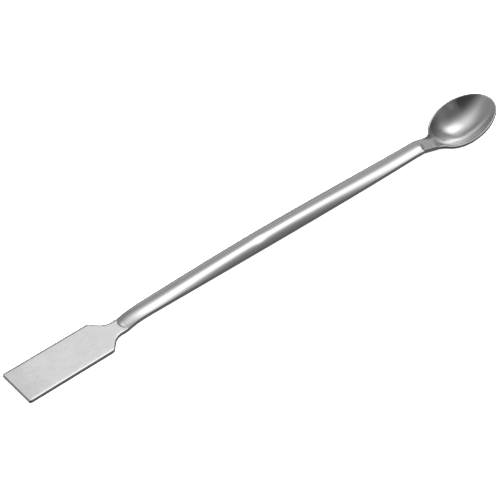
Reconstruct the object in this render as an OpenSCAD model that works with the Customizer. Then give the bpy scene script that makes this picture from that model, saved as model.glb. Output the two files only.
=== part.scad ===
// Lab spatula: a flat blade, a pressed channel handle and a small spoon,
// all pressed from one strip of stainless sheet.
// X runs from the blade's end to the spoon's tip, Z is up, and the spatula lies
// as it rests on a table: on the blade's end and on the bottom of the bowl.

/* [Sheet] */
// Length from the blade's end to the spoon's tip
length = 180; // [165:1:200]
// Thickness of the sheet
sheet_t = 1.2; // [1:0.05:1.4]
// Rounding of the upper edge, all round the outline
edge_r = 0.45; // [0.3:0.05:0.6]
// Rounding of the lower edge
under_r = 0.22; // [0.1:0.02:0.3]

/* [Blade] */
// Length of the blade, up to its shoulders
blade_l = 30.3; // [26:0.1:38]
// Width of the blade at its end
blade_end_w = 13.6; // [12:0.1:16]
// Width of the blade at its shoulders
blade_root_w = 13.3; // [12:0.1:16]
// Radius of the blade's two end corners, in plan
corner_r = 0.9; // [0.7:0.1:2]
// Radius of the two shoulders
shoulder_r = 1.3; // [1:0.1:2.5]
// Angle that the outline turns through at each shoulder
shoulder_turn = 47; // [42:1:60]
// Radius of the hollow between shoulder and neck
neck_fillet_r = 4.7; // [3:0.1:5.5]
// Width of the neck behind the blade
blade_neck_w = 5.7; // [4.8:0.1:6.4]
// Flat length from the shoulders to the handle's nose
blade_neck_l = 6.9; // [6:0.1:9]

/* [Handle] */
// Width of the handle near the blade
handle_w_blade = 5.4; // [4.6:0.05:6]
// Width of the handle at its middle
handle_w_mid = 7; // [5.6:0.05:8]
// Width of the handle near the spoon
handle_w_spoon = 5.7; // [4.8:0.05:7]
// Height of the pressed crown near the blade
crown_blade = 0.5; // [0.2:0.05:1]
// Height of the pressed crown at the middle
crown_mid = 1.45; // [1:0.05:2.4]
// Height of the pressed crown near the spoon
crown_spoon = 0.55; // [0.2:0.05:1]
// Half angle of the crown's arch at the two ends of the handle
arch_ends = 14; // [10:1:40]
// Half angle of the crown's arch along the middle
arch_mid = 40; // [25:1:80]
// Length over which a nose climbs to the crown
nose_l = 1.4; // [1.2:0.1:3]
// How far the foot of the nose by the blade bows out past its ends
nose_bow_blade = 1.2; // [0.6:0.1:2]
// How far the foot of the nose by the spoon bows out past its ends
nose_bow_spoon = 1.5; // [0.6:0.1:2]
// How far the handle rises above the blade's plane, bending up at the nose by the blade
handle_rise = 1.15; // [0.4:0.05:1.6]
// Length over which it rises
rise_run = 10; // [8:0.5:16]
// How far below the blade's plane it has come down at the nose by the spoon
handle_fall = 0.2; // [0:0.05:0.6]

/* [Spoon] */
// Length of the egg shape that the bowl's outline follows
bowl_l = 23.4; // [21:0.1:28]
// Width of the bowl across its outline
bowl_w = 17.9; // [15:0.1:20]
// How much the egg narrows towards the tip
egg = 0.05; // [0:0.01:0.12]
// Depth of the bowl below its rim
bowl_depth = 4.8; // [3.6:0.1:6]
// How full the bowl's hollow is: higher has a flatter bottom and steeper walls
fullness = 2.2; // [2:0.1:3]
// How much deeper the hollow is towards the tip than towards the neck
lean = 0.18; // [0:0.02:0.4]
// Radius of the hollow between neck and bowl
bowl_fillet_r = 4.2; // [2:0.1:6]
// Width of the neck behind the spoon
spoon_neck_w = 6.2; // [5:0.1:6.6]
// Length from the handle's nose to the start of the egg
spoon_neck_l = 6.6; // [5:0.1:9]
// How far below the blade's plane the neck drops as it runs into the bowl
neck_dip = 2.1; // [0.6:0.05:2.6]
// Distance from the start of the egg to the lowest point of its rim
dip_past = 1.4; // [0:0.1:4]
// How far the tip stands above the blade's plane
tip_rise = 2.45; // [0:0.05:4]
// How much the rim's climb to the tip flattens out
climb_ease = 0.4; // [0:0.05:0.8]

/* [Hidden] */
steel = [0.76, 0.76, 0.77];

// Columns of points across the sheet, and the angle on each side of the tip that its last
// station spans
cols = 16;
tip_turn = 28;
// How softly the bowl's hollow starts inside its rim
rim_soft = 0.1;
// How softly the bowl's rim starts to climb
climb_soft = 2.3;

nose_a = blade_l + blade_neck_l;
nose_b = length - bowl_l - spoon_neck_l;
egg_half = bowl_l / 2;
egg_mid = length - egg_half;
low_x = nose_b + spoon_neck_l + dip_past;

// Shoulder, neck fillet and the straight between them
arc_a_x = blade_l - shoulder_r;
turn_drop = (shoulder_r + neck_fillet_r) * (1 - cos(shoulder_turn));
slant = max(0.05, ((blade_root_w - blade_neck_w) / 2 - turn_drop) / sin(shoulder_turn));
arc_b_x = arc_a_x + (shoulder_r + neck_fillet_r) * sin(shoulder_turn) + slant * cos(shoulder_turn);

function ease(t) = let (c = max(0, min(1, t))) c * c * (3 - 2 * c);
function mix(a, b, k) = a + (b - a) * k;
function spread(a, b, n) = [for (i = [0:n]) mix(a, b, i / n)];

// Outline of the egg at angle f, from 0 at the neck to 180 at the tip, and its outward normal
function egg_pt(f) = [egg_mid - egg_half * cos(f), bowl_w / 2 * sin(f) * (1 + egg * cos(f))];
function egg_out(f) =
    let (n = [-bowl_w / 2 * (cos(f) + egg * cos(2 * f)), egg_half * sin(f)]) n / norm(n);

// Angle on the egg where the neck's fillet touches it, by halving
function touch(lo, hi, n) =
    let (m = (lo + hi) / 2)
    n == 0 ? m
    : egg_pt(m).y + bowl_fillet_r * egg_out(m).y < spoon_neck_w / 2 + bowl_fillet_r
        ? touch(m, hi, n - 1) : touch(lo, m, n - 1);
egg_start = touch(1, 85, 30);
arc_c = egg_pt(egg_start) + bowl_fillet_r * egg_out(egg_start);
arc_c_turn = atan2(-egg_out(egg_start).x, egg_out(egg_start).y);
handle_end = arc_c.x;

// Half width, crown height and arch of the handle along X
function along(x) = max(0, min(1, (x - nose_a) / (nose_b - nose_a)));
function three(a, m, b, u) = mix(a, b, u) + (m - (a + b) / 2) * sin(180 * u);
function swell(a, m, b, u) = mix(a, b, u) + (m - (a + b) / 2) * pow(sin(180 * u), 2);
function handle_half(x) =
    let (in = ease((x - arc_b_x) / (nose_a + 8 - arc_b_x)))
    let (out = ease((handle_end - x) / (handle_end - nose_b + 6)))
    let (w = three(handle_w_blade, handle_w_mid, handle_w_spoon, along(x)))
    mix(spoon_neck_w, mix(blade_neck_w, w, in), out) / 2;
function climb(t) = sqrt(1 - pow(1 - max(0, min(1, t)), 2));
function full_crown(x) = swell(crown_blade, crown_mid, crown_spoon, along(x));
function crown(x, back) =
    full_crown(x) * climb((x - nose_a - back) / nose_l) * climb((nose_b - back - x) / nose_l);
function arch(x) =
    x < arc_b_x ? mix(8, arch_ends, ease((x - arc_b_x) / 4 + 1))
    : mix(swell(arch_ends, arch_mid, arch_ends, along(x)), tip_turn, ease((x - handle_end) / 10));

// A climb that is level up to 0 and eases into a straight slope
function soft_ramp(d) = norm([max(0, d), climb_soft]) - climb_soft;

// Height of the strip's line along the handle and the neck, with its bend at each nose
function spine(x) =
    let (t = max(0, min(1, (x - nose_a) / rise_run)), u = max(0, min(1, (x - nose_b) / (low_x - nose_b))))
    let (f = (x - nose_a - rise_run) / (nose_b - nose_a - rise_run))
    handle_rise * (1 - pow(1 - t, 3)) - (handle_rise + handle_fall) * pow(ease(f), 1.6)
    - (neck_dip - handle_fall) * u * (1 + u - u * u);

// Climb of the bowl's rim from its lowest point to the tip
function climb_to_tip(x) =
    let (tip = soft_ramp(x - low_x) / soft_ramp(length - low_x))
    (tip_rise + neck_dip) * tip * (1 + climb_ease * (1 - tip));

// Depth of the bowl's hollow under its rim
function dish(x, y) =
    let (s = (x - egg_mid) / (egg_half - edge_r))
    let (w = (bowl_w / 2 - edge_r) * max(0.3, 1 - egg * s))
    let (m = 1 - pow(norm([s, y / w]), fullness))
    bowl_depth * (m + norm([m, rim_soft])) / 2 * (1 + lean * s) * ease((x - handle_end + 6) / 6);

// Outline stations of one side: [x, half width, outward normal x, y]
handle_x = concat(
    [for (x = spread(arc_b_x, nose_a, 3)) if (x > arc_b_x && x < nose_a) x],
    [for (k = [0, 0.06, 0.18, 0.36, 0.6, 0.8]) nose_a + nose_l * k],
    spread(nose_a + nose_l, nose_b - nose_l, 26),
    [for (k = [0.8, 0.6, 0.36, 0.18, 0.06, 0]) nose_b - nose_l * k],
    [for (x = spread(nose_b, handle_end, 2)) if (x > nose_b && x < handle_end) x]);
rail = concat(
    [for (f = spread(0, 90, 4))
        [corner_r * (1 - cos(f)), blade_end_w / 2 - corner_r * (1 - sin(f)), -cos(f), sin(f)]],
    [for (k = [1, 2])
        [mix(corner_r, arc_a_x, k / 3), mix(blade_end_w, blade_root_w, k / 3) / 2, 0, 1]],
    [for (f = spread(0, shoulder_turn, 4))
        [arc_a_x + shoulder_r * sin(f), blade_root_w / 2 - shoulder_r * (1 - cos(f)), sin(f), cos(f)]],
    [for (f = spread(shoulder_turn, 0, 6))
        [arc_b_x - neck_fillet_r * sin(f), blade_neck_w / 2 + neck_fillet_r * (1 - cos(f)), sin(f), cos(f)]],
    [for (x = handle_x) [x, handle_half(x), 0, 1]],
    [for (f = spread(0, arc_c_turn, 5))
        [arc_c.x + bowl_fillet_r * sin(f), arc_c.y - bowl_fillet_r * cos(f), -sin(f), cos(f)]],
    [for (f = spread(egg_start, 180 - tip_turn, 18)) if (f > egg_start)
        concat(egg_pt(f), egg_out(f))]);
last = len(rail) - 1;

// Slope at the foot of the arch, where the rounded edge takes over
function foot(s) =
    let (a = arch(s[0]), in = ease((s[0] - nose_a + 1) / 5) * ease((nose_b + 1 - s[0]) / 5))
    atan2(full_crown(s[0]) * in * pow(sin(a), 2), s[1] * cos(a) * (1 - cos(a)));
function inset(s) = edge_r * (1 - sin(foot(s)));
rail_in = [for (s = rail) [s[0] - inset(s) * s[2], s[1] - inset(s) * s[3]]];
rail_under = [for (s = rail) [s[0] - edge_r * s[2], s[1] - edge_r * s[3]]];

// Bow of each column of points: out past the noses, and round the tip
tip_bow = length - edge_r - rail_in[last].x;
function bow(x) =
    -nose_bow_blade * ease((x - nose_a + 4.5) / 4.5) * (1 - ease((x - nose_a - nose_l) / 6))
    + nose_bow_spoon * ease((x - nose_b + nose_l + 6) / 6) * (1 - ease((x - nose_b) / (handle_end - nose_b)))
    + tip_bow * pow(max(0, (x - egg_mid) / (rail_in[last].x - egg_mid)), 2);
function hump(f, a) = (cos(f) - cos(a)) / (1 - cos(a));

// One column of the upper skin and one of the under skin
function top_pt(i, v) =
    let (s = rail_in[i], a = arch(rail[i][0]), h = hump(a * v, a))
    let (e = 180 - tip_turn * v)
    let (tip = egg_pt(e) - edge_r * egg_out(e))
    let (x = i == last ? tip.x : s.x + bow(s.x) * h)
    let (y = i == last ? tip.y : s.y * sin(a * v) / sin(a))
    [x, y, sheet_t + spine(rail[i][0]) + climb_to_tip(x) + crown(rail[i][0], 0) * h - dish(x, y)];
function wall(i) = sheet_t * (0.85 + 0.3 * sin(foot(rail[i]))) - edge_r;
function under_pt(i, j) =
    let (s = rail_under[i], a = arch(rail[i][0]))
    let (v = max(-1, min(1, 2 * (j - 1) / (cols - 2) - 1)))
    let (side = j == 0 ? -1 : j == cols ? 1 : (1 - wall(i) / s.y) * sin(a * v) / sin(a))
    let (f = asin(side * sin(a)))
    let (e = 180 - tip_turn * asin(side * sin(tip_turn)) / tip_turn)
    let (tip = egg_pt(e) - edge_r * egg_out(e))
    let (x = i == last ? tip.x : s.x + bow(s.x) * hump(f, a))
    let (y = i == last ? tip.y : s.y * side)
    let (z = spine(rail[i][0]) + climb_to_tip(x) + crown(rail[i][0], 0.7 * sheet_t) * hump(a * v, a))
    [x, y, z - dish(x, y)];

// The rim runs once round the outline: [station, column, outward normal x, y]
rim = concat(
    [for (j = [0:cols]) [0, j, -1, 0]],
    [for (i = [1:last - 1]) [i, cols, rail[i][2], rail[i][3]]],
    [for (j = [cols:-1:0])
        let (n = egg_out(180 - tip_turn * (2 * j / cols - 1))) [last, j, n.x, n.y]],
    [for (i = [last - 1:-1:1]) [i, 0, rail[i][2], -rail[i][3]]]);
rim_n = len(rim);
function round_over(k, q) =
    let (a0 = foot(rail[q[0]]), a = mix(a0, 90, k / 3))
    let (out = edge_r * (sin(a) - sin(a0)), up = edge_r * (cos(a) - cos(a0)))
    top_pt(q[0], 2 * q[1] / cols - 1) + [out * q[2], out * q[3], up];
function round_under(k, q) =
    let (out = edge_r - under_r * (1 - cos(45 * k)), up = under_r * (1 - sin(45 * k)))
    under_pt(q[0], q[1]) + [out * q[2], out * q[3], up];
rows = 6;

// All points: upper skin, six rows down the rim, under skin
flat_pts = concat(
    [for (i = [0:last]) for (j = [0:cols]) top_pt(i, 2 * j / cols - 1)],
    [for (k = [1:3]) for (q = rim) round_over(k, q)],
    [for (k = [0:2]) for (q = rim) round_under(k, q)],
    [for (i = [0:last]) for (j = [0:cols]) under_pt(i, j)]);

// At rest the blade's end and the bowl's bottom touch the table
tilt = max([for (p = flat_pts) if (p.x > length / 3) atan2(-p.z, p.x - under_r)]);
tilted = [for (p = flat_pts) [p.x * cos(tilt) - p.z * sin(tilt), p.y, p.x * sin(tilt) + p.z * cos(tilt)]];
low_z = min([for (p = tilted) p.z]);
mid_x = (min([for (p = tilted) p.x]) + max([for (p = tilted) p.x])) / 2;
pts = [for (p = tilted) p - [mid_x, 0, low_z]];

// Triangles of the two skins and of the rim between them
grid_n = (last + 1) * (cols + 1);
under_0 = grid_n + rows * rim_n;
function at(i, j) = i * (cols + 1) + j;
function on_rim(k, q) =
    let (m = (q + rim_n) % rim_n)
    k == 0 ? at(rim[m][0], rim[m][1])
    : k > rows ? under_0 + at(rim[m][0], rim[m][1])
    : grid_n + (k - 1) * rim_n + m;
skin = [for (i = [0:last - 1]) for (j = [0:cols - 1])
    each [[at(i, j), at(i + 1, j + 1), at(i + 1, j)], [at(i, j), at(i, j + 1), at(i + 1, j + 1)]]];
tris = concat(
    skin,
    [for (t = skin) [t[2] + under_0, t[1] + under_0, t[0] + under_0]],
    [for (k = [0:rows]) for (q = [0:rim_n - 1])
        each [[on_rim(k, q), on_rim(k + 1, q + 1), on_rim(k, q + 1)],
              [on_rim(k, q), on_rim(k + 1, q), on_rim(k + 1, q + 1)]]]);

module spatula() {
    color(steel) polyhedron(points = pts, faces = tris, convexity = 6);
}

spatula();
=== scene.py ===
"""Lab spatula: a flat blade, a pressed channel handle and a small spoon, all one strip of stainless sheet."""
import math
import bpy
import bmesh
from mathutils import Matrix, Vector


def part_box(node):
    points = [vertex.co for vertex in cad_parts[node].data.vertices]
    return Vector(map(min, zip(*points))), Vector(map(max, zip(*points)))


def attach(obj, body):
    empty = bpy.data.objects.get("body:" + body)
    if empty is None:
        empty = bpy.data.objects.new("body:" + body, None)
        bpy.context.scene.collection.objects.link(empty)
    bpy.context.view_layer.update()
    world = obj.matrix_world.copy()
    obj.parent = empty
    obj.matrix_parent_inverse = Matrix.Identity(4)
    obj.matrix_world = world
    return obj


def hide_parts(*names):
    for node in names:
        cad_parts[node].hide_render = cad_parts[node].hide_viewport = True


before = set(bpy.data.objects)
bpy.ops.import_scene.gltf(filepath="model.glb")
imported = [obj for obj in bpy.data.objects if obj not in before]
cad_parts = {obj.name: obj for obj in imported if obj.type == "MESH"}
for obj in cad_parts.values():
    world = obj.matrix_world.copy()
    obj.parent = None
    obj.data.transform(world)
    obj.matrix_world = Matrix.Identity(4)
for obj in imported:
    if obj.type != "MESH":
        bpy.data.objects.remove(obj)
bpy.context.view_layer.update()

MM = 0.001
MICRON = 1e-6
DEG = math.pi / 180

# Sheet
LENGTH = 180 * MM
SHEET_T = 1.2 * MM
EDGE_R = 0.45 * MM  # rounding of the upper edge
UNDER_R = 0.22 * MM  # rounding of the lower edge
SIDE_WALL = 0.85 * SHEET_T  # sideways thickness of a flat edge, seen from below
STEEP_WALL = 0.3 * SHEET_T  # what an upright foot of the arch adds to it
UNDER_BACK = 0.7 * SHEET_T  # how far the noses of the hollow underneath stand back

# Blade
BLADE_L = 30.3 * MM
BLADE_END_W = 13.6 * MM
BLADE_ROOT_W = 13.3 * MM
CORNER_R = 0.9 * MM
SHOULDER_R = 1.3 * MM
SHOULDER_TURN = 47 * DEG
NECK_FILLET_R = 4.7 * MM
BLADE_NECK_W = 5.7 * MM
BLADE_NECK_L = 6.9 * MM
ROLL_DROP = 0.07 * MM  # how far the blade's face rolls off at its edges
ROLL_RUN = 1 * MM
BRIGHT_EDGE = 0.55 * MM  # width of the bright strip along the blade's edges

# Handle, with three values where it changes: by the blade, at the middle and by the spoon
HANDLE_W = (5.4 * MM, 7 * MM, 5.7 * MM)
CROWN = (0.5 * MM, 1.45 * MM, 0.55 * MM)
ARCH = (14 * DEG, 40 * DEG, 14 * DEG)
FLAT_ARCH = 8 * DEG
NOSE_L = 1.4 * MM
NOSE_SOFT = 0.08  # how softly the foot of a nose starts
NOSE_BOW_BLADE = 1.2 * MM
NOSE_BOW_SPOON = 1.5 * MM
HANDLE_RISE = 1.15 * MM
RISE_RUN = 10 * MM
HANDLE_FALL = 0.2 * MM
FALL_POWER = 1.6  # how late the handle comes down towards the spoon
DENT_X = 86.6 * MM
DENT_Y = -1.2 * MM
DENT_L = 1.9 * MM
DENT_W = 1.1 * MM
DENT_DEPTH = 0.12 * MM

# Spoon
BOWL_L = 23.4 * MM
BOWL_W = 17.9 * MM
EGG = 0.05  # how much the egg narrows towards the tip
BOWL_DEPTH = 4.8 * MM
FULLNESS = 2.2  # a fuller hollow has a flatter bottom and steeper walls
LEAN = 0.18  # how much deeper the hollow is towards the tip
BOWL_FILLET_R = 4.2 * MM
SPOON_NECK_W = 6.2 * MM
SPOON_NECK_L = 6.6 * MM
NECK_DIP = 2.1 * MM
DIP_PAST = 1.4 * MM
TIP_RISE = 2.45 * MM
CLIMB_EASE = 0.4  # how much the rim's climb to the tip flattens out
CLIMB_SOFT = 2.3 * MM
TIP_TURN = 28 * DEG
RIM_SOFT = 0.1  # how softly the hollow starts at its rim
MOUTH_SOFT = 0.4  # the same at its mouth
MOUTH_FULLNESS = 1.85
RIM_THIN = 0.35 * MM  # how much thinner the sheet is at the bowl's rim
RIM_THIN_RUN = 2.5 * MM

# Stretches of the bowl, from -1 at its mouth to 1 at its tip, over which its hollow changes
MOUTH_FULLNESS_SPAN = (-0.2, -0.8)
MOUTH_SOFT_SPAN = (-0.3, -0.8)
TIP_EDGE_SPAN = (0, 0.4)

# Runs over which one form eases into the next
WIDTH_RUN = 8 * MM
BOW_RUN = 6 * MM
BOW_LEAD = 4.5 * MM
FOOT_RUN = 5 * MM
FOOT_LEAD = 1 * MM
ARCH_RUN = 10 * MM
ARCH_LEAD = 4 * MM

# Mesh density: columns across, rows round the edge and steps along each stretch of the outline
COLS = 48
ROUND_ROWS = 6
UNDER_ROWS = 3
CORNER_STEPS = 10
BLADE_STEPS = 24
SHOULDER_STEPS = 10
NECK_FILLET_STEPS = 20
NECK_STEPS = 8
NOSE_STEPS = 26
NOSE_CROWDING = 1.6  # how much closer the steps are at the foot of a nose
HANDLE_STEPS = 120
BOWL_FILLET_STEPS = 14
BOWL_STEPS = 72
HALVINGS = 40
WELD = 1e-7
HAIR = 1e-9

# Finishes
SATIN, POLISHED, CUT_EDGE = range(3)
SATIN_SHADE = 0.955
SATIN_ROUGHNESS = 0.5
SATIN_METALLIC = 0.97
# Painted shade: the blade's colour is made darker towards its end, in place of the light falling off there
END_PAINTED_SHADE = 0.12
END_PAINTED_SHADE_RUN = 11 * MM
POLISHED_SHADE = 0.78
POLISHED_ROUGHNESS = 0.13
CUT_SHADE = 0.76
CUT_ROUGHNESS = 0.2
NOISE_ROUGHNESS = 0.55

# Studio, in metres, watts and degrees
WALL_LIGHT = 0.14
GROUND_LIGHT = 0.07
LEAST_UP = 0.03  # least rise of a direction, which keeps its lean from straight up below 90 degrees
SPOT_RIGHT = 4
SPOT_BACK = -54
TABLE_W = 6
TABLE_SHADE = (0.92, 0.92, 0.92, 1)
TABLE_GLOW = (1, 1, 1, 1)
LAMP_W = 1.2
LAMP_WATTS = 60
LAMP_PLACE = (0.05, -0.2, 1.1)

# Camera, whose sensor is in millimetres
AIM = Vector((-4.492 * MM, 1.828 * MM, 0))
AZIMUTH = -39.4 * DEG
ELEVATION = 44.4 * DEG
DISTANCE = 720 * MM
FOCAL_PIXELS = 2456
FRAME_PIXELS = 500
SENSOR_W = 36

# Places along the spatula, and the arcs between blade and neck
NOSE_A = BLADE_L + BLADE_NECK_L
NOSE_B = LENGTH - BOWL_L - SPOON_NECK_L
FOOT_A = NOSE_A - NOSE_L * NOSE_SOFT
FOOT_B = NOSE_B + NOSE_L * NOSE_SOFT
TOP_A = NOSE_A + NOSE_L * (1 + NOSE_SOFT)
TOP_B = NOSE_B - NOSE_L * (1 + NOSE_SOFT)
EGG_HALF = BOWL_L / 2
EGG_MID = LENGTH - EGG_HALF
LOW_X = NOSE_B + SPOON_NECK_L + DIP_PAST
ARC_A_X = BLADE_L - SHOULDER_R
TURN_DROP = (SHOULDER_R + NECK_FILLET_R) * (1 - math.cos(SHOULDER_TURN))
SLANT = ((BLADE_ROOT_W - BLADE_NECK_W) / 2 - TURN_DROP) / math.sin(SHOULDER_TURN)
ARC_B_X = ARC_A_X + (SHOULDER_R + NECK_FILLET_R) * math.sin(SHOULDER_TURN) + SLANT * math.cos(SHOULDER_TURN)


# ---------------------------------------------------------------- form

def clamp(t):
    return max(0.0, min(1.0, t))


def mix(a, b, k):
    return a + (b - a) * k


def ease(x, start, end):
    """0 up to start, 1 from end on, eased between them. The end may be the lower one."""
    t = clamp((x - start) / (end - start))
    return t * t * (3 - 2 * t)


def spread(a, b, n):
    """The ends of n even steps from a to b."""
    return [mix(a, b, i / n) for i in range(n + 1)]


def soften(m, soft):
    """Close to m where m is well above 0, and softly down to 0 below that."""
    return (m + math.hypot(m, soft)) / 2


def egg_pt(f):
    """Point of the bowl's egg at angle f, from 0 at the neck to half a turn at the tip."""
    return Vector((EGG_MID - EGG_HALF * math.cos(f), BOWL_W / 2 * math.sin(f) * (1 + EGG * math.cos(f))))


def egg_out(f):
    """Outward normal of the egg at angle f."""
    return Vector((-BOWL_W / 2 * (math.cos(f) + EGG * math.cos(2 * f)), EGG_HALF * math.sin(f))).normalized()


def touch(low, high):
    """Angle on the egg where the fillet of the spoon's neck touches it, by halving."""
    for _ in range(HALVINGS):
        middle = (low + high) / 2
        if egg_pt(middle).y + BOWL_FILLET_R * egg_out(middle).y < SPOON_NECK_W / 2 + BOWL_FILLET_R:
            low = middle
        else:
            high = middle
    return middle


EGG_START = touch(1 * DEG, 85 * DEG)
ARC_C = egg_pt(EGG_START) + BOWL_FILLET_R * egg_out(EGG_START)
ARC_C_TURN = math.atan2(-egg_out(EGG_START).x, egg_out(EGG_START).y)
HANDLE_END = ARC_C.x
FILLET_END = ARC_C.x + BOWL_FILLET_R * math.sin(ARC_C_TURN)


def along_handle(values, x, power=2):
    """Value at x, out of those by the blade, at the middle and by the spoon."""
    by_blade, middle, by_spoon = values
    u = clamp((x - NOSE_A) / (NOSE_B - NOSE_A))
    return mix(by_blade, by_spoon, u) + (middle - (by_blade + by_spoon) / 2) * math.sin(math.pi * u) ** power


def handle_half(x):
    """Half width of the outline along the handle and its two necks."""
    handle = along_handle(HANDLE_W, x, power=1)
    necked = mix(BLADE_NECK_W, handle, ease(x, ARC_B_X, NOSE_A + WIDTH_RUN))
    return mix(SPOON_NECK_W, necked, ease(x, HANDLE_END, NOSE_B - BOW_RUN)) / 2


def quarter_area(t):
    """Area under a quarter circle's rise from 0 to 1, level beyond it."""
    s = 1 - clamp(t)
    return math.pi / 4 - (s * math.sqrt(1 - s * s) + math.asin(s)) / 2 + max(0.0, t - 1)


def climb(t):
    """A quarter circle's rise with its foot softened."""
    return (quarter_area(t + NOSE_SOFT) - quarter_area(t - NOSE_SOFT)) / (2 * NOSE_SOFT)


def crown(x, back):
    """Height of the pressed crown, with its noses standing back by the given length."""
    return (along_handle(CROWN, x) * climb((x - NOSE_A - back) / NOSE_L)
            * climb((NOSE_B - back - x) / NOSE_L))


def arch(x):
    """Half angle of the arch across the sheet."""
    if x < ARC_B_X:
        return mix(FLAT_ARCH, ARCH[0], ease(x, ARC_B_X - ARCH_LEAD, ARC_B_X))
    return mix(along_handle(ARCH, x), TIP_TURN, ease(x, HANDLE_END, HANDLE_END + ARCH_RUN))


def hump(f, a):
    """Rise of an arch of half angle a at angle f: 1 at its top and 0 at its feet."""
    return (math.cos(f) - math.cos(a)) / (1 - math.cos(a))


def foot(x, half):
    """Slope at the foot of the arch, where the rounded edge takes over."""
    start = NOSE_A - FOOT_LEAD
    end = NOSE_B + FOOT_LEAD
    high = along_handle(CROWN, x) * ease(x, start, start + FOOT_RUN) * ease(x, end, end - FOOT_RUN)
    a = arch(x)
    return math.atan2(high * math.sin(a) ** 2, half * math.cos(a) * (1 - math.cos(a)))


def spine(x):
    """Height of the strip's line along the handle and the neck, with its bend at each nose."""
    t = clamp((x - NOSE_A) / RISE_RUN)
    u = clamp((x - NOSE_B) / (LOW_X - NOSE_B))
    up = HANDLE_RISE * (1 - (1 - t) ** 3)
    fall = (HANDLE_RISE + HANDLE_FALL) * ease(x, NOSE_A + RISE_RUN, NOSE_B) ** FALL_POWER
    return up - fall - (NECK_DIP - HANDLE_FALL) * u * (1 + u - u * u)


def soft_ramp(d):
    """A slope that starts softly at 0."""
    return math.hypot(max(0.0, d), CLIMB_SOFT) - CLIMB_SOFT


def rim(x):
    """Climb of the bowl's rim from its lowest point to the tip."""
    tip = soft_ramp(x - LOW_X) / soft_ramp(LENGTH - LOW_X)
    return (TIP_RISE + NECK_DIP) * tip * (1 + CLIMB_EASE * (1 - tip))


def bowl_share(x):
    """Place along the face of the bowl, from -1 at its mouth to 1 at its tip."""
    return (x - EGG_MID) / (EGG_HALF - EDGE_R)


def hollow_half(x):
    """Half width of the face inside its rounded edge, from the spoon's neck to the tip."""
    if x < HANDLE_END:
        return handle_half(x) - EDGE_R
    if x < FILLET_END:
        return ARC_C.y - math.sqrt((BOWL_FILLET_R + EDGE_R) ** 2 - (x - ARC_C.x) ** 2)
    s = bowl_share(x)
    return (BOWL_W / 2 - EDGE_R) * (1 - EGG * s) * math.sqrt(max(1e-6, 1 - s * s))


def dish(x, y):
    """Depth of the bowl's hollow, which starts at the rim and runs out softly along the neck."""
    s = bowl_share(x)
    full = mix(FULLNESS, MOUTH_FULLNESS, ease(s, *MOUTH_FULLNESS_SPAN))
    down = soften(1 - abs(s) ** full, mix(RIM_SOFT, MOUTH_SOFT, ease(s, *MOUTH_SOFT_SPAN)))
    over = soften(1 - min(1.0, abs(y) / hollow_half(x)) ** FULLNESS, RIM_SOFT)
    edge = RIM_SOFT / 2 * (1 - down) * (1 - over) * ease(s, *TIP_EDGE_SPAN)
    return BOWL_DEPTH * (down * over + edge) * (1 + LEAN * s) * ease(x, HANDLE_END - BOW_RUN, HANDLE_END)


def dent(x, y):
    """Depth of a slight dent in the middle of the handle."""
    return DENT_DEPTH * math.exp(-((x - DENT_X) / DENT_L) ** 2 - ((y - DENT_Y) / DENT_W) ** 2)


def roll_share(x):
    """Share of the blade's rolled-off edge at x: full on the blade, none on the handle."""
    return ease(x, NOSE_A, ARC_B_X)


def roll(x, half, v):
    """Drop of the blade's face where its long edges and its end roll off."""
    side = 1 - (1 - abs(v)) * half / ROLL_RUN
    end = 1 - (x - EDGE_R) / ROLL_RUN
    return ROLL_DROP * max(0.0, side, end) ** 2 * roll_share(x)


def thinned(x, px, half, side):
    """Rise of the bowl's underside where the sheet thins out to its rim."""
    inset = 1 - (1 - abs(side)) * half / RIM_THIN_RUN
    tip = 1 - (LENGTH - px) / RIM_THIN_RUN
    return RIM_THIN * ease(max(inset, tip), 0, 1) * ease(x, HANDLE_END, HANDLE_END + BOW_RUN)


def arc(x, y, radius, start, end, steps):
    """Stations on an arc about x, y, by the turn of the outward normal. Hollow arcs have a radius below 0."""
    return [(x + radius * math.sin(turn), y + radius * math.cos(turn), math.sin(turn), math.cos(turn))
            for turn in spread(start, end, steps)]


def stations():
    """One side of the outline, blade's end to spoon's tip: x, half width, outward normal."""
    out = arc(CORNER_R, BLADE_END_W / 2 - CORNER_R, CORNER_R, -90 * DEG, 0, CORNER_STEPS)
    out += [(mix(CORNER_R, ARC_A_X, k), mix(BLADE_END_W, BLADE_ROOT_W, k) / 2, 0, 1)
            for k in spread(0, 1, BLADE_STEPS)[1:-1]]
    out += arc(ARC_A_X, BLADE_ROOT_W / 2 - SHOULDER_R, SHOULDER_R, 0, SHOULDER_TURN, SHOULDER_STEPS)
    out += arc(ARC_B_X, BLADE_NECK_W / 2 + NECK_FILLET_R, -NECK_FILLET_R, SHOULDER_TURN, 0, NECK_FILLET_STEPS)

    nose = [mix(-NOSE_SOFT, 1 + NOSE_SOFT, k ** NOSE_CROWDING) for k in spread(0, 1, NOSE_STEPS)]
    xs = spread(ARC_B_X, FOOT_A, NECK_STEPS)[1:-1]
    xs += [NOSE_A + NOSE_L * k for k in nose]
    xs += spread(TOP_A, TOP_B, HANDLE_STEPS)[1:-1]
    xs += [NOSE_B - NOSE_L * k for k in reversed(nose)]
    xs += spread(FOOT_B, HANDLE_END, NECK_STEPS)[1:-1]
    out += [(x, handle_half(x), 0, 1) for x in xs]

    out += arc(ARC_C.x, ARC_C.y, -BOWL_FILLET_R, 0, -ARC_C_TURN, BOWL_FILLET_STEPS)
    out += [(*egg_pt(f), *egg_out(f)) for f in spread(EGG_START, math.pi - TIP_TURN, BOWL_STEPS)[1:]]
    return out


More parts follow.
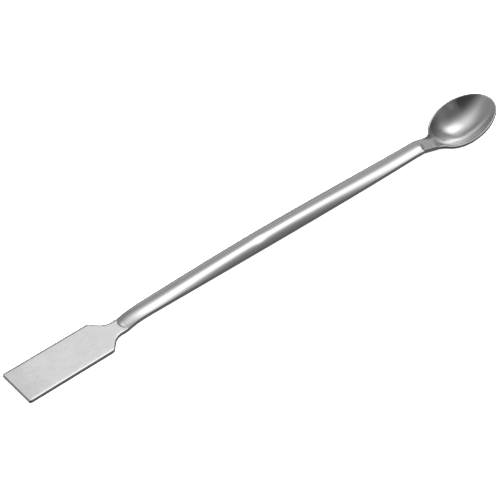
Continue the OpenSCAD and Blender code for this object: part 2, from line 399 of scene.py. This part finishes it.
def skins():
    """Points of the two skins and the rows round the edge, before the strip is laid down."""
    rail = stations()
    last = len(rail) - 1
    edge_slope = math.atan(2 * ROLL_DROP / ROLL_RUN)
    feet = [max(foot(x, half), edge_slope * roll_share(x)) for x, half, _, _ in rail]

    def inner(i, inset):
        """Station i moved in from the outline: x and half width."""
        x, half, nx, ny = rail[i]
        return x - inset * nx, half - inset * ny

    tip_x = inner(last, EDGE_R * (1 - math.sin(feet[last])))[0]
    tip_bow = LENGTH - EDGE_R - tip_x

    def bow(x):
        """How far the middle of the sheet stands ahead of its edges along X."""
        near = ease(x, NOSE_A - BOW_LEAD, NOSE_A) * ease(x, NOSE_A + NOSE_L + BOW_RUN, NOSE_A + NOSE_L)
        far = ease(x, NOSE_B - NOSE_L - BOW_RUN, NOSE_B - NOSE_L) * ease(x, HANDLE_END, NOSE_B)
        tip = max(0.0, (x - EGG_MID) / (tip_x - EGG_MID)) ** 2
        return -NOSE_BOW_BLADE * near + NOSE_BOW_SPOON * far + tip_bow * tip

    def tip_pt(f):
        """Point at angle f of the egg, inside the rounded edge."""
        return egg_pt(f) - EDGE_R * egg_out(f)

    def top_pt(i, v):
        """Point of the upper skin at station i, with v from -1 to 1 across."""
        x, half = inner(i, EDGE_R * (1 - math.sin(feet[i])))
        a = arch(rail[i][0])
        h = hump(a * v, a)
        px, py = (tip_pt(math.pi - TIP_TURN * v) if i == last
                  else (x + bow(x) * h, half * math.sin(a * v) / math.sin(a)))
        z = SHEET_T + spine(px) + rim(px) + crown(rail[i][0], 0) * h
        return Vector((px, py, z - dish(px, py) - roll(x, half, v) - dent(px, py)))

    def under_pt(i, j):
        """Point of the underside at station i and column j."""
        x, half = inner(i, EDGE_R)
        a = arch(rail[i][0])
        wall = SIDE_WALL + STEEP_WALL * math.sin(feet[i]) - EDGE_R
        v = max(-1.0, min(1.0, 2 * (j - 1) / (COLS - 2) - 1))
        side = v if j in (0, COLS) else (1 - wall / half) * math.sin(a * v) / math.sin(a)
        px, py = (tip_pt(math.pi - math.asin(side * math.sin(TIP_TURN))) if i == last
                  else (x + bow(x) * hump(math.asin(side * math.sin(a)), a), half * side))
        z = spine(px) + rim(px) + crown(rail[i][0], UNDER_BACK) * hump(a * v, a)
        return Vector((px, py, z - dish(px, py) + thinned(rail[i][0], px, half, side)))

    top = [[top_pt(i, 2 * j / COLS - 1) for j in range(COLS + 1)] for i in range(last + 1)]
    under = [[under_pt(i, j) for j in range(COLS + 1)] for i in range(last + 1)]

    # Once round the outline: station, column and outward normal
    ring = [(0, j, Vector((-1, 0, 0))) for j in range(COLS + 1)]
    ring += [(i, COLS, Vector((rail[i][2], rail[i][3], 0))) for i in range(1, last)]
    for j in range(COLS, -1, -1):
        ring.append((last, j, egg_out(math.pi - TIP_TURN * (2 * j / COLS - 1)).to_3d()))
    ring += [(i, 0, Vector((rail[i][2], -rail[i][3], 0))) for i in range(last - 1, 0, -1)]

    # Rows round the upper edge, and then round the lower edge
    rows = []
    up = Vector((0, 0, 1))
    for k in range(1, ROUND_ROWS + 1):
        row = []
        for i, j, out in ring:
            a = mix(feet[i], math.pi / 2, k / ROUND_ROWS)
            row.append(top[i][j] + EDGE_R * ((math.sin(a) - math.sin(feet[i])) * out
                                             + (math.cos(a) - math.cos(feet[i])) * up))
        rows.append(row)
    for k in range(UNDER_ROWS):
        a = math.pi / 2 * k / (UNDER_ROWS - 1)
        rows.append([under[i][j] + (EDGE_R - UNDER_R * (1 - math.cos(a))) * out
                     + UNDER_R * (1 - math.sin(a)) * up for i, j, out in ring])
    return rail, top, under, ring, rows


def at_rest(points):
    """Lays the points on the table: the blade's end and the bowl's bottom touch it."""
    tilt = max(math.atan2(-p.z, p.x - UNDER_R) for p in points if p.x > LENGTH / 3)
    turned = [Vector((p.x * math.cos(tilt) - p.z * math.sin(tilt), p.y,
                      p.x * math.sin(tilt) + p.z * math.cos(tilt))) for p in points]
    low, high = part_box("spatula")
    mid = (min(p.x for p in turned) + max(p.x for p in turned)) / 2
    drop = min(p.z for p in turned)
    shift = Vector(((low.x + high.x) / 2 - mid, 0, low.z - drop))
    return [p + shift for p in turned]


def spatula():
    """The whole strip as one closed mesh: upper skin, rounded edge and underside."""
    rail, top, under, ring, rows = skins()
    points = [p for line in top for p in line]
    rows_0 = len(points)
    points += [p for row in rows for p in row]
    under_0 = len(points)
    points += [p for line in under for p in line]
    points = at_rest(points)

    def at(i, j):
        """Number of the point at station i and column j of a skin."""
        return i * (COLS + 1) + j

    def on_rim(k, q):
        """Number of the point q round the outline in row k, from the upper skin to the underside."""
        i, j, _ = ring[q % len(ring)]
        if k == 0:
            return at(i, j)
        if k > len(rows):
            return under_0 + at(i, j)
        return rows_0 + (k - 1) * len(ring) + q % len(ring)

    faces = []
    finish = []
    for i in range(len(rail) - 1):
        x, half, _, _ = rail[i]
        steel = SATIN if x < FOOT_A - HAIR else POLISHED
        for j in range(COLS):
            quad = [at(i, j), at(i + 1, j), at(i + 1, j + 1), at(i, j + 1)]
            inside = 1 - abs(2 * (j + 0.5) / COLS - 1)
            bright = steel == SATIN and inside * half < BRIGHT_EDGE
            faces += [quad, [under_0 + c for c in reversed(quad)]]
            finish += [CUT_EDGE if bright else steel, steel]
    for k in range(len(rows) + 1):
        for q in range(len(ring)):
            faces.append([on_rim(k, q), on_rim(k, q + 1), on_rim(k + 1, q + 1), on_rim(k + 1, q)])
            finish.append(CUT_EDGE)

    mesh = bpy.data.meshes.new("spatula_sheet")
    mesh.from_pydata(points, [], faces)
    mesh.polygons.foreach_set("material_index", finish)
    mesh.polygons.foreach_set("use_smooth", [True] * len(faces))
    bm = bmesh.new()
    bm.from_mesh(mesh)
    bmesh.ops.remove_doubles(bm, verts=bm.verts, dist=WELD)
    bmesh.ops.recalc_face_normals(bm, faces=bm.faces)
    bm.to_mesh(mesh)
    bm.free()
    piece = bpy.data.objects.new("spatula_sheet", mesh)
    bpy.context.scene.collection.objects.link(piece)
    mesh.materials.append(metal("satin_steel", satin_steel, SATIN_METALLIC))
    mesh.materials.append(metal("polished_steel", polished_steel))
    mesh.materials.append(metal("cut_edge_steel", cut_edge_steel))
    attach(piece, "root")
    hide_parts("spatula")


# ---------------------------------------------------------------- shader helpers

class Value:
    """A socket of a node tree that takes part in Python arithmetic."""

    def __init__(self, tree, socket):
        self.tree = tree
        self.socket = socket

    def __add__(self, other):
        return self.tree.math("ADD", self, other)

    def __radd__(self, other):
        return self.tree.math("ADD", other, self)

    def __sub__(self, other):
        return self.tree.math("SUBTRACT", self, other)

    def __rsub__(self, other):
        return self.tree.math("SUBTRACT", other, self)

    def __mul__(self, other):
        return self.tree.math("MULTIPLY", self, other)

    def __rmul__(self, other):
        return self.tree.math("MULTIPLY", other, self)

    def __truediv__(self, other):
        return self.tree.math("DIVIDE", self, other)

    def __rtruediv__(self, other):
        return self.tree.math("DIVIDE", other, self)


class Tree:
    """Makes the nodes of a material or a world."""

    def __init__(self, owner):
        owner.use_nodes = True
        self.tree = owner.node_tree
        self.tree.nodes.clear()

    def node(self, kind, *values, output=0, settings=None, **named):
        """One node: its settings are set first, then its sockets, in order or by name."""
        node = self.tree.nodes.new(kind)
        for name, setting in (settings or {}).items():
            setattr(node, name, setting)
        sockets = list(zip(node.inputs, values))
        sockets += [(node.inputs[name.replace("_", " ")], value) for name, value in named.items()]
        for socket, value in sockets:
            if isinstance(value, Value):
                self.tree.links.new(value.socket, socket)
            else:
                socket.default_value = value
        return Value(self, node.outputs[output]) if node.outputs else None

    def math(self, operation, *values, clamped=False):
        return self.node("ShaderNodeMath", *values, settings={"operation": operation, "use_clamp": clamped})

    def parts(self, place):
        """The x, y and z of a place or a direction."""
        x = self.node("ShaderNodeSeparateXYZ", place)
        return [Value(self, socket) for socket in x.socket.node.outputs]


def smooth(value, start, end):
    """What ease() does, for a socket."""
    t = value.tree.math("DIVIDE", value - start, end - start, clamped=True)
    return t * t * (3 - 2 * t)


def grey(t, level):
    return t.node("ShaderNodeCombineColor", level, level, level)


# ---------------------------------------------------------------- steel

def stretched(t, place, along, across, detail):
    """Noise stretched along the spatula: feature lengths in metres, values about 0 to 1."""
    scaled = t.node("ShaderNodeMapping", Vector=place, Scale=(1 / along, 1 / across, 1 / across))
    return t.node("ShaderNodeTexNoise", Vector=scaled, Scale=1, Detail=detail, Roughness=NOISE_ROUGHNESS)


def swing(noise, width):
    """The noise as a change of that width, up and down alike."""
    return (noise - 0.5) * width


def metal(name, finish, metallic=1):
    """A steel, from a finish that makes its shade, its roughness and its relief in metres."""
    material = bpy.data.materials.new(name)
    t = Tree(material)
    shade, roughness, relief = finish(t, t.node("ShaderNodeTexCoord", output="Object"))
    shader = t.node("ShaderNodeBsdfPrincipled", Base_Color=grey(t, shade), Roughness=roughness,
                    Metallic=metallic, Normal=t.node("ShaderNodeBump", Height=relief, Distance=1))
    t.node("ShaderNodeOutputMaterial", Surface=shader)
    return material


def satin_steel(t, place):
    """The matt blade: cloudy and speckled, with fine grain along it, and with painted shade that darkens its
    colour towards its end.
    """
    cloud = stretched(t, place, along=3.2 * MM, across=2.4 * MM, detail=3)
    speck = stretched(t, place, along=0.9 * MM, across=0.6 * MM, detail=2)
    grain = stretched(t, place, along=4 * MM, across=0.12 * MM, detail=3)
    x, _, _ = t.parts(place)
    shade = SATIN_SHADE + swing(cloud, 0.2) + swing(speck, 0.2) + swing(grain, 0.06)
    # Painted shade: the colour darkens towards the blade's end, in place of the light falling off there
    shade = shade - smooth(x, END_PAINTED_SHADE_RUN - LENGTH / 2, -LENGTH / 2) * END_PAINTED_SHADE
    roughness = SATIN_ROUGHNESS + swing(cloud, 0.12) + swing(grain, 0.08)
    return shade, roughness, grain * (1.2 * MICRON) + cloud * (6 * MICRON)


def polished_steel(t, place):
    """The bright handle and spoon: slightly wavy, with faint polishing lines along them."""
    wave = stretched(t, place, along=9 * MM, across=3 * MM, detail=1)
    line = stretched(t, place, along=8 * MM, across=0.1 * MM, detail=3)
    speck = stretched(t, place, along=1.6 * MM, across=0.5 * MM, detail=2)
    shade = POLISHED_SHADE + swing(wave, 0.06) + swing(line, 0.03) + swing(speck, 0.08)
    roughness = POLISHED_ROUGHNESS + swing(wave, 0.05) + swing(line, 0.06)
    return shade, roughness, line * (0.25 * MICRON) + wave * (4 * MICRON)


def cut_edge_steel(t, place):
    """The rounded edge all round, with short lines along it."""
    line = stretched(t, place, along=1.5 * MM, across=0.08 * MM, detail=2)
    return CUT_SHADE + swing(line, 0.05), CUT_ROUGHNESS + swing(line, 0.1), line * (0.3 * MICRON)


# ---------------------------------------------------------------- studio

def patch(level, *edges):
    """Light or shade of the given level, with edges that each ease in from a start to an end."""
    for value, start, end in edges:
        level = smooth(value, start, end) * level
    return level


def surroundings():
    """What the steel reflects: a soft box above in a wide glow, grey walls and a dim ground."""
    world = bpy.data.worlds.new("studio")
    bpy.context.scene.world = world
    t = Tree(world)
    x, y, z = t.parts(t.node("ShaderNodeTexCoord", output="Generated"))

    # How far a direction leans from straight up, in degrees, to the right and to the back
    above = t.math("MAXIMUM", z, LEAST_UP)
    right = t.math("ARCTAN2", x, above) / DEG
    back = t.math("ARCTAN2", y, above) / DEG
    aside = right - SPOT_RIGHT
    behind = back - SPOT_BACK
    from_spot = t.math("SQRT", aside * aside + behind * behind)

    back_wall = patch(0.135, (back, -52, 44))
    front_wall = patch(0.06, (back, -60, -90))
    front_right = patch(0.05, (back, 0, -22), (right, 12, 28), (right, 62, 44))
    back_right = patch(0.1, (back, 38, 46), (right, 20, 42))
    left_shade = patch(0.65, (back, -16, -53), (right, -8, -19))
    front_spot = patch(0.08, (from_spot, 13, 0))
    right_strip = patch(0.04, (right, 42, 56), (right, 92, 78), (back, 20, 34))
    walls = WALL_LIGHT + back_wall + front_wall + front_right + back_right
    walls = walls * (1 - left_shade) + front_spot + right_strip

    glow = patch(0.97, (right, -76, 18), (right, 50, 34), (back, -38, 35), (back, 56, 2))
    soft_box = patch(1.1, (right, 0, 34), (right, 48, 12), (back, -18, 3), (back, 36, 16))
    dark_panel = patch(0.47, (right - back * 0.2, 44, 60), (back, 44, 30))
    dark_end = patch(0.15, (right, 76, 96))
    light = (walls + glow + soft_box) * (1 - dark_panel - dark_end)

    ground = GROUND_LIGHT + patch(0.09, (x, -0.5, 0.5)) + patch(0.19, (y, -0.5, 0.5))
    below = smooth(z, 0.06, -0.12)
    light = light * (1 - below) + ground * below
    background = t.node("ShaderNodeBackground", Color=grey(t, light), Strength=1)
    t.node("ShaderNodeOutputWorld", Surface=background)


def table():
    """A pale table, which the steel doesn't reflect."""
    bpy.ops.mesh.primitive_plane_add(size=TABLE_W, location=(0, 0, 0))
    floor = bpy.context.object
    floor.name = "table"
    material = bpy.data.materials.new("pale_table")
    t = Tree(material)
    shader = t.node("ShaderNodeBsdfPrincipled", Base_Color=TABLE_SHADE, Roughness=0.9,
                    Emission_Color=TABLE_GLOW, Emission_Strength=1)
    t.node("ShaderNodeOutputMaterial", Surface=shader)
    floor.data.materials.append(material)
    floor.visible_glossy = False


def lamp():
    """A soft lamp overhead, which shows in no reflection."""
    data = bpy.data.lights.new("overhead", "AREA")
    data.shape = "SQUARE"
    data.size = LAMP_W
    data.energy = LAMP_WATTS
    overhead = bpy.data.objects.new("overhead", data)
    overhead.location = LAMP_PLACE
    overhead.rotation_euler = Vector(LAMP_PLACE).to_track_quat("Z", "Y").to_euler()
    overhead.visible_glossy = False
    overhead.visible_camera = False
    bpy.context.scene.collection.objects.link(overhead)


def camera():
    """A long lens that looks down from the front, on the blade's side."""
    back = Vector((math.sin(AZIMUTH) * math.cos(ELEVATION), -math.cos(AZIMUTH) * math.cos(ELEVATION),
                   math.sin(ELEVATION)))
    data = bpy.data.cameras.new("camera")
    data.sensor_width = SENSOR_W
    data.lens = FOCAL_PIXELS / FRAME_PIXELS * SENSOR_W
    eye = bpy.data.objects.new("camera", data)
    eye.location = AIM + DISTANCE * back
    eye.rotation_euler = back.to_track_quat("Z", "Y").to_euler()
    bpy.context.scene.collection.objects.link(eye)
    bpy.context.scene.camera = eye


spatula()
surroundings()
table()
lamp()
camera()
bpy.context.scene.view_settings.view_transform = "Standard"
